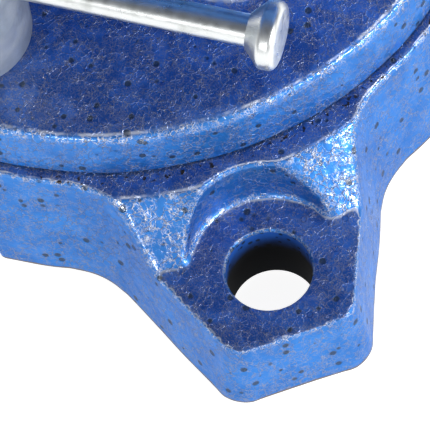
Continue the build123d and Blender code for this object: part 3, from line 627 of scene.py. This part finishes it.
# ---------------------------------------------------------------- swivel base
def make_swivel_base():
    lugs = []
    for bearing in (LUG_BEARING, 180 - LUG_BEARING, 180 + LUG_BEARING, -LUG_BEARING):
        lugs.append(Vector((cos(radians(bearing)), sin(radians(bearing)), 0)) * LUG_HOLE_REACH)
    half = Vector((1, 1, 0)) * (LUG_HOLE_RADIUS + 1) * MM
    top = LUG_THICKNESS
    plugs = [(hole - half - UP * RUN_ON, hole + half + UP * (top * MM)) for hole in lugs]
    mesh = casting("swivel_base_casting", "swivel_base", 0.65 * MM, 4, plugs, [(0, -RUN_ON)], 0.4)
    unevenness(mesh, 12 * MM, 0.3 * MM, 1)
    hole = bar_profile(LUG_HOLE_RADIUS, -PAST_END, top + PAST_END)
    corners = [
        (0, top - HOLE_RIM_DEPTH, 0),
        (LUG_HOLE_RADIUS, top - HOLE_RIM_DEPTH, 0),
        (LUG_HOLE_RADIUS, top, 0.7),
        (HOLE_RIM_RADIUS, top, 0),
    ]
    rim = rounded(corners) + [(HOLE_RIM_RADIUS, top + PAST_END), (0, top + PAST_END)]
    cutters = [(turned(hole, spot, UP), FINISHES["bore_painted_shade"]) for spot in lugs]
    cutters += [(turned(rim, spot, UP), FINISHES["blue_hammertone"]) for spot in lugs]
    cutters.append((box_shape((-WIDE, -WIDE, -WIDE), (WIDE, WIDE, 0)), FINISHES["raw_cast_iron"]))
    piece("swivel_base_casting", cut(mesh, "swivel_base_casting", cutters), "swivel_base")


# ---------------------------------------------------------------- fixed jaw casting with its swivel plate
def make_fixed_jaw():
    front, rear = fixed_plate_low.y, body_high.y
    low = Vector((-BEAM_HALF_WIDTH - RUNNING_GAP, front + TUNNEL_START, BEAM_BOTTOM - RUNNING_GAP))
    high = Vector((BEAM_HALF_WIDTH + RUNNING_GAP, rear, BEAM_TOP + RUNNING_GAP))
    mesh = casting(
        "fixed_jaw_casting",
        "fixed_jaw_body",
        0.85 * MM,
        5,
        [(low, high), (fixed_plate_low, fixed_plate_high)],
        [(BASE_TOP, BASE_TOP - RUN_ON), (ANVIL_TOP, ANVIL_TOP + RUN_ON)],
        0.42,
    )
    unevenness(mesh, 14 * MM, 0.3 * MM, 7)
    blue, steel = FINISHES["blue_hammertone"], FINISHES["bright_steel"]
    out = Vector((0, TUNNEL_PAST, 0))
    seat_low = fixed_plate_low - Vector((SEAT_PAST, SEAT_PAST, SEAT_UNDER)) * MM
    seat_high = fixed_plate_high + Vector((SEAT_PAST, 0, SEAT_PAST)) * MM
    under = [
        (PIVOT_SPIGOT_RADIUS, -1),
        (100, -1),
        (100, PLATE_RELIEF_Z),
        (PLATE_SEAT_RADIUS, PLATE_RELIEF_Z),
        (PLATE_SEAT_RADIUS, PLATE_SEAT_Z),
        (PIVOT_SPIGOT_RADIUS, PLATE_SEAT_Z),
        (PIVOT_SPIGOT_RADIUS, -1),
    ]
    wide, back, cut_top = ANVIL_CUT_HALF_WIDTH, ANVIL_CUT_REAR, ANVIL_TOP + ANVIL_CUT_HEIGHT
    rib_low = (-RIB_CUT_HALF_WIDTH, RIB_FOOT, ANVIL_TOP + ABOVE_ANVIL)
    above_rib = box_shape(rib_low, (RIB_CUT_HALF_WIDTH, RIB_CUT_REAR, cut_top))
    for v in above_rib.verts:
        if v.co.y < RIB_CUT_REAR - MM and v.co.z > ANVIL_TOP + MM:
            v.co.y -= ANVIL_CUT_HEIGHT * RIB_SLOPE
    cutters = [
        (above_rib, blue),
        (box_shape((-WIDE, -FAR, JAW_FACE_BOTTOM), (WIDE, front + JAW_CLEARANCE, FAR)), blue),
        (box_shape(low - out, high + out), steel),
        (box_shape(seat_low, seat_high), steel),
        (box_shape((-wide, RIB_FOOT, ANVIL_TOP), (wide, back, cut_top)), steel),
        (box_shape((RIB_HALF_WIDTH, ANVIL_FRONT, ANVIL_TOP), (wide, back, cut_top)), steel),
        (box_shape((-wide, ANVIL_FRONT, ANVIL_TOP), (-RIB_HALF_WIDTH, back, cut_top)), steel),
        (turned(under, (0, 0, 0), UP, 180), FINISHES["raw_cast_iron"]),
    ]
    piece("fixed_jaw_casting", cut(mesh, "fixed_jaw_casting", cutters), "fixed_jaw_body")


# ---------------------------------------------------------------- sliding jaw casting and its beam
def make_sliding_jaw():
    face = sliding_plate_high.y
    plug = (sliding_plate_low, sliding_plate_high)
    mesh = casting("sliding_jaw_casting", "sliding_jaw", 1.1 * MM, 7, [plug])
    unevenness(mesh, 14 * MM, 0.3 * MM, 12)
    seat_low = sliding_plate_low - Vector((SEAT_PAST, 0, 0)) * MM
    seat_high = sliding_plate_high + Vector((SEAT_PAST, SEAT_PAST, SEAT_PAST)) * MM
    cutters = [
        (box_shape((-WIDE, face - JAW_CLEARANCE, 0), (WIDE, FAR, FAR)), FINISHES["blue_hammertone"]),
        (box_shape(seat_low, seat_high), FINISHES["bright_steel"]),
    ]
    piece("sliding_jaw_casting", cut(mesh, "sliding_jaw_casting", cutters), "sliding_jaw")

    shape = bmesh.new()
    outline = (
        (-BEAM_HALF_WIDTH, BEAM_BOTTOM),
        (-BEAM_HALF_WIDTH, BEAM_TOP),
        (BEAM_HALF_WIDTH, BEAM_TOP),
        (BEAM_HALF_WIDTH, BEAM_BOTTOM),
        (BEAM_HOLLOW_HALF_WIDTH, BEAM_BOTTOM),
        (BEAM_HOLLOW_HALF_WIDTH, BEAM_HOLLOW_TOP),
        (-BEAM_HOLLOW_HALF_WIDTH, BEAM_HOLLOW_TOP),
        (-BEAM_HOLLOW_HALF_WIDTH, BEAM_BOTTOM),
    )
    start = spring_low.y
    section = shape.faces.new([shape.verts.new((x, start, z)) for x, z in outline])
    grown = bmesh.ops.extrude_face_region(shape, geom=[section])["geom"]
    moved = [v for v in grown if isinstance(v, bmesh.types.BMVert)]
    bmesh.ops.translate(shape, verts=moved, vec=(0, jaw_high.y - start, 0))
    bmesh.ops.recalc_face_normals(shape, faces=shape.faces)
    soften(shape, BEAM_EDGE)
    piece("slide_beam", shape, "sliding_jaw", slot="raw_cast_iron")


# ---------------------------------------------------------------- jaw plates and their screws
def make_jaw_plate(jaw, low, high, outward):
    """A hardened plate with a pyramid-toothed face that looks outward along Y, and two countersunk holes."""
    middle = (low + high) / 2
    face = high.y if outward > 0 else low.y
    shape = bmesh.new()
    flat = Matrix.Translation((0, face, middle.z)) @ Matrix.Rotation(pi / 2, 4, "X")
    bmesh.ops.create_grid(shape, x_segments=TEETH_ACROSS, y_segments=TEETH_UP, size=0.5)
    size = high - low
    tooth = size.x / TEETH_ACROSS
    bmesh.ops.transform(shape, matrix=flat @ Matrix.Diagonal((size.x, size.z, 1, 1)), verts=shape.verts)
    teeth = shape.faces[:]
    grown = bmesh.ops.extrude_face_region(shape, geom=teeth, use_keep_orig=True)["geom"]
    moved = [v for v in grown if isinstance(v, bmesh.types.BMVert)]
    bmesh.ops.translate(shape, verts=moved, vec=(0, -outward * size.y, 0))
    bmesh.ops.recalc_face_normals(shape, faces=shape.faces)
    screws = [Vector((x, face, middle.z)) for x in (-JAW_SCREW_SPREAD, JAW_SCREW_SPREAD)]
    clear = []
    for tooth_face in teeth:
        off = min((tooth_face.calc_center_median() - spot).length for spot in screws)
        if off > COUNTERSINK_CLEAR:
            clear.append(tooth_face)
    bmesh.ops.inset_individual(shape, faces=clear, thickness=0.25 * tooth, depth=-0.22 * tooth)
    mesh = as_mesh(f"{jaw}_jaw_plate_toothed", shape, "hardened_steel")
    sink = [(0, -1), (8.7, -1), (7.7, 0), (4.3, 3.4), (4.3, 10), (0, 10)]
    inward = Vector((0, -outward, 0))
    cutters = [(turned(sink, spot, inward, 48), FINISHES["bright_steel"]) for spot in screws]
    piece(f"{jaw}_jaw_plate_toothed", cut(mesh, mesh.name, cutters), f"{jaw}_jaw_plate")

    screw_low, screw_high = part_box(f"{jaw}_jaw_screws")
    length = (screw_high.y - screw_low.y) / MM
    heads = [(0, 0.6, 0), (6.6, 0.6, 0.3), (6.8, 1.2, 0), (3.9, 4.0, 0), (3.9, length, 0.4), (0, length, 0)]
    shape = bmesh.new()
    for spot in screws:
        turned(rounded(heads), spot, inward, 48, shape)
    mesh = as_mesh(f"{jaw}_jaw_socket_screws", shape, "black_steel")
    socket = bar_profile(2.9, 0, 3.4)
    cutters = [(turned(socket, spot, inward, 6), FINISHES["black_steel"]) for spot in screws]
    piece(f"{jaw}_jaw_socket_screws", cut(mesh, mesh.name, cutters), f"{jaw}_jaw_screws")


# ---------------------------------------------------------------- spindle and what sits on it
def make_spindle():
    middle = Vector((0, 0, SPINDLE_Z))
    forward = Vector((0, -1, 0))
    front, rear = -spindle_low.y / MM, -spindle_high.y / MM
    head_rear = -washer_low.y / MM
    corners = [
        (0, front, 0),
        (13.4, front, 1.2),
        (HEAD_RADIUS, front - 3.6, 1.2),
        (HEAD_RADIUS, head_rear + 9, 0.4),
        (SPINDLE_GROOVE_RADIUS, head_rear + 8, 0.4),
        (SPINDLE_GROOVE_RADIUS, head_rear + 5, 0.4),
        (HEAD_RADIUS, head_rear + 4, 0.4),
        (HEAD_RADIUS, head_rear, 0.5),
        (SPINDLE_RADIUS, head_rear, 0),
        (SPINDLE_RADIUS, THREAD_START + 2, 0),
        (THREAD_ROOT_RADIUS, THREAD_START, 0),
        (THREAD_ROOT_RADIUS, rear + 1.4, 0),
        (7.4, rear, 0),
        (0, rear, 0),
    ]
    mesh = as_mesh("spindle_turned", turned(rounded(corners), middle, forward, 96), "bright_steel")
    bar_hole = [(0, -20), (9.4, -20), (6.6, -15.6), (6.6, 15.6), (9.4, 20), (0, 20)]
    bar_middle = (handle_low + handle_high) / 2
    cutters = [(turned(bar_hole, bar_middle, (1, 0, 0)), FINISHES["bright_steel"])]
    piece("spindle_turned", cut(mesh, "spindle_turned", cutters), "spindle")

    ridge = [(8.6, 0), (SPINDLE_RADIUS, 0.75), (SPINDLE_RADIUS, 2.05), (8.6, 2.8)]
    turns = (THREAD_START - rear) / THREAD_LEAD - 1
    start = middle + Vector((0, spindle_high.y - 2 * MM, 0))
    thread = coiled([(r, t + 2) for r, t in ridge], start, forward, THREAD_LEAD, turns, 32)
    piece("spindle_thread", thread, "spindle", sharp=40)

    low, high = -washer_high.y / MM, -washer_low.y / MM
    washer = rounded([(10.1, low, 0), (18, low, 0.3), (18, high, 0.3), (10.1, high, 0), (10.1, low, 0)])
    piece("thrust_washer_turned", turned(washer, middle, forward), "thrust_washer")

    low, high = -collar_high.y / MM, -collar_low.y / MM
    outer = COLLAR_RADIUS
    collar = [(10.05, low, 0), (outer, low, 0.6), (outer, high, 0.6), (10.05, high, 0), (10.05, low, 0)]
    mesh = as_mesh("retaining_collar_turned", turned(rounded(collar), middle, forward), "bright_steel")
    pin_low, pin_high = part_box("collar_pin")
    pin_middle = (pin_low + pin_high) / 2
    drill = bar_profile(COLLAR_PIN_RADIUS + 0.05, -14, 14)
    cutters = [(turned(drill, pin_middle, UP, 24), FINISHES["bright_steel"])]
    piece("retaining_collar_turned", cut(mesh, mesh.name, cutters), "retaining_collar")
    half = (pin_high.z - pin_low.z) / 2 / MM
    radius = COLLAR_PIN_RADIUS
    pin = rounded([(0, -half, 0), (radius, -half, 0.5), (radius, half, 0.5), (0, half, 0)])
    piece("collar_pin_rounded", turned(pin, pin_middle, UP, 24), "collar_pin")

    radius = SPRING_WIRE_RADIUS
    angles = [2 * pi * n / 10 for n in range(10)]
    wire = [(SPRING_MIDDLE_RADIUS + radius * cos(a), 1.1 + radius * sin(a)) for a in angles]
    length = (spring_high.y - spring_low.y) / MM
    lead = (length - 2.2) / SPRING_TURNS
    spring = coiled(wire, middle + Vector((0, spring_low.y, 0)), (0, 1, 0), lead, SPRING_TURNS, 36)
    piece("spindle_spring_coil", spring, "spindle_spring", sharp=60)


def make_spindle_handle():
    middle = (handle_low + handle_high) / 2
    half = (handle_high.x - handle_low.x) / 2 / MM
    bar = rounded([(0, -half, 0), (BAR_RADIUS, -half, 0.8), (BAR_RADIUS, half, 0.8), (0, half, 0)])
    piece("spindle_handle_bar", turned(bar, middle, (1, 0, 0), 64), "spindle_handle")
    for side_name, side in SIDES.items():
        low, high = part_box(f"handle_cap_{side_name}")
        inner, outer = sorted((abs(low.x) / MM, abs(high.x) / MM))
        corners = [
            (BAR_RADIUS, inner, 0),
            (8.2, inner, 0.6),
            (CAP_RADIUS, inner + 3.4, 2.5),
            (CAP_RADIUS, outer - 3.6, 3),
            (6.2, outer, 2.5),
            (0, outer, 0),
        ]
        cap = [(0, half - 1), (BAR_RADIUS, half - 1)] + rounded(corners, 6)
        cap = turned(cap, middle, (side, 0, 0), 64)
        piece(f"handle_cap_{side_name}_turned", cap, f"handle_cap_{side_name}")


# ---------------------------------------------------------------- swivel locks
def make_lock(side_name, side):
    nut_low, nut_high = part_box(f"lock_nut_{side_name}")
    centre = Vector((side * LOCK_REACH, 0, 0))
    low, high = nut_low.z / MM, nut_high.z / MM
    radius = LOCK_NUT_RADIUS
    corners = [(0, low, 0), (10.1, low, 0), (radius, low + 0.4, 0), (radius, high, 3.2), (0, high, 0)]
    shape = turned(rounded(corners, 8), centre, UP, 96)
    mesh = as_mesh(f"lock_nut_{side_name}_turned", shape, "dull_zinc")
    lean = radians(LOCK_BAR_LEAN)
    along = Vector((-sin(lean), cos(lean), 0)) * side
    bar_middle = centre + UP * LOCK_BAR_Z
    bar_hole = [(0, -13), (4.6, -13), (2.75, -9.8), (2.75, 9.8), (4.6, 13), (0, 13)]
    stud_hole = bar_profile(6.1, low - 2, LOCK_BAR_Z / MM - 6)
    cutters = [
        (turned(bar_hole, bar_middle, along, 48), FINISHES["zinc_plate"]),
        (turned(stud_hole, centre, UP, 48), FINISHES["zinc_plate"]),
    ]
    piece(mesh.name, cut(mesh, mesh.name, cutters), f"lock_nut_{side_name}")

    front, rear = LOCK_BAR_UNDER - LOCK_BAR_FRONT / MM, LOCK_BAR_REAR / MM - LOCK_BAR_UNDER
    bar = turned(bar_profile(LOCK_BAR_RADIUS, front, rear), bar_middle, along, 40)
    piece(f"lock_bar_{side_name}_drawn", bar, f"lock_bar_{side_name}")
    caps = bmesh.new()
    for way, reach in ((1, LOCK_BAR_REAR), (-1, LOCK_BAR_FRONT)):
        corners = [
            (0, 0, 0),
            (LOCK_CAP_RADIUS, 0, 1.2),
            (LOCK_CAP_RADIUS, -2.6, 1.0),
            (3.0, -5.2, 0.3),
            (LOCK_BAR_RADIUS, -5.2, 0),
            (LOCK_BAR_RADIUS, -LOCK_BAR_UNDER, 0),
            (0, -LOCK_BAR_UNDER, 0),
        ]
        turned(rounded(corners, 6), bar_middle + along * way * reach, along * way, 48, caps)
    piece(f"lock_bar_caps_{side_name}_turned", caps, f"lock_bar_caps_{side_name}", sharp=50)


# ---------------------------------------------------------------- everything else keeps its CAD shape
def finish_cad_nodes():
    for name, cad in nodes.items():
        if not cad.hide_render:
            cad.data.materials.clear()
            cad.data.materials.append(FINISHES[slot_of[name]])


# ---------------------------------------------------------------- studio
def softbox(name, bearing, elevation, distance, size, power, target):
    """A soft light of (width, height) that looks at target from a bearing, in degrees from +X towards +Y."""
    light = bpy.data.lights.new(name, "AREA")
    light.shape = "RECTANGLE"
    light.size, light.size_y = size
    light.energy = power
    lamp = bpy.data.objects.new(name, light)
    bpy.context.scene.collection.objects.link(lamp)
    a, e = radians(bearing), radians(elevation)
    away = Vector((cos(a) * cos(e), sin(a) * cos(e), sin(e)))
    lamp.location = target + away * distance
    lamp.rotation_mode = "QUATERNION"
    lamp.rotation_quaternion = away.to_track_quat("Z", "Y")


def make_studio():
    shape = bmesh.new()
    bmesh.ops.create_grid(shape, x_segments=1, y_segments=1, size=6)
    mesh = as_mesh("floor", shape)
    floor = bpy.data.objects.new("floor", mesh)
    bpy.context.scene.collection.objects.link(floor)
    floor.location.z = -0.0005
    pale = Finish("pale_floor", (0.45, 0.45, 0.45), Roughness=0.9)
    pale.shader.inputs["Emission Color"].default_value = (1, 1, 1, 1)
    pale.shader.inputs["Emission Strength"].default_value = 0.92
    mesh.materials.append(pale.material)

    world = bpy.data.worlds.new("studio")
    bpy.context.scene.world = world
    world.use_nodes = True
    tree = world.node_tree
    sky = tree.nodes["Background"]
    direction = tree.nodes.new("ShaderNodeTexCoord")
    height = tree.nodes.new("ShaderNodeSeparateXYZ")
    ramp = tree.nodes.new("ShaderNodeValToRGB")
    ramp.color_ramp.elements[0].position = 0.35
    ramp.color_ramp.elements[0].color = (0.95, 0.97, 1, 1)
    ramp.color_ramp.elements[1].position = 0.8
    ramp.color_ramp.elements[1].color = (0.25, 0.265, 0.3, 1)
    tree.links.new(direction.outputs["Generated"], height.inputs[0])
    tree.links.new(height.outputs["Z"], ramp.inputs[0])
    tree.links.new(ramp.outputs["Color"], sky.inputs["Color"])
    sky.inputs["Strength"].default_value = 0.55

    middle = Vector((0, 0, 0.04))
    softbox("box_rear", 91, 24, 1.1, (0.5, 0.12), 8.5, middle)
    softbox("box_right", 17, 22, 1.1, (0.2, 0.09), 2.2, middle)
    softbox("box_front", -110, 35, 1.2, (0.3, 0.2), 3.0, middle)
    softbox("box_left", 190, 40, 1.2, (0.25, 0.2), 2.0, middle)
    scene = bpy.context.scene
    scene.view_settings.view_transform = "Standard"
    scene.view_settings.look = "None"


def make_camera():
    """A long lens over the rear right lug, looking steeply down."""
    bearing, elevation, roll = 128.82, 63.042, -9.896
    target = Vector((0.04208, 0.04087, 0))
    a, e = radians(bearing), radians(elevation)
    back = Vector((sin(a) * cos(e), -cos(a) * cos(e), sin(e)))
    camera = bpy.data.cameras.new("camera")
    camera.sensor_width = 36
    camera.lens = 460.9
    camera.clip_start = 0.05
    view = bpy.data.objects.new("camera", camera)
    bpy.context.scene.collection.objects.link(view)
    view.location = target + back * 0.9001
    view.rotation_mode = "QUATERNION"
    turn = back.to_track_quat("Z", "Y").to_matrix().to_4x4() @ Matrix.Rotation(radians(roll), 4, "Z")
    view.rotation_quaternion = turn.to_quaternion()
    bpy.context.scene.camera = view


make_camera()
make_studio()
make_swivel_base()
make_fixed_jaw()
make_sliding_jaw()
make_jaw_plate("fixed", fixed_plate_low, fixed_plate_high, -1)
make_jaw_plate("sliding", sliding_plate_low, sliding_plate_high, 1)
make_spindle()
make_spindle_handle()
for side_name, side in SIDES.items():
    make_lock(side_name, side)
finish_cad_nodes()
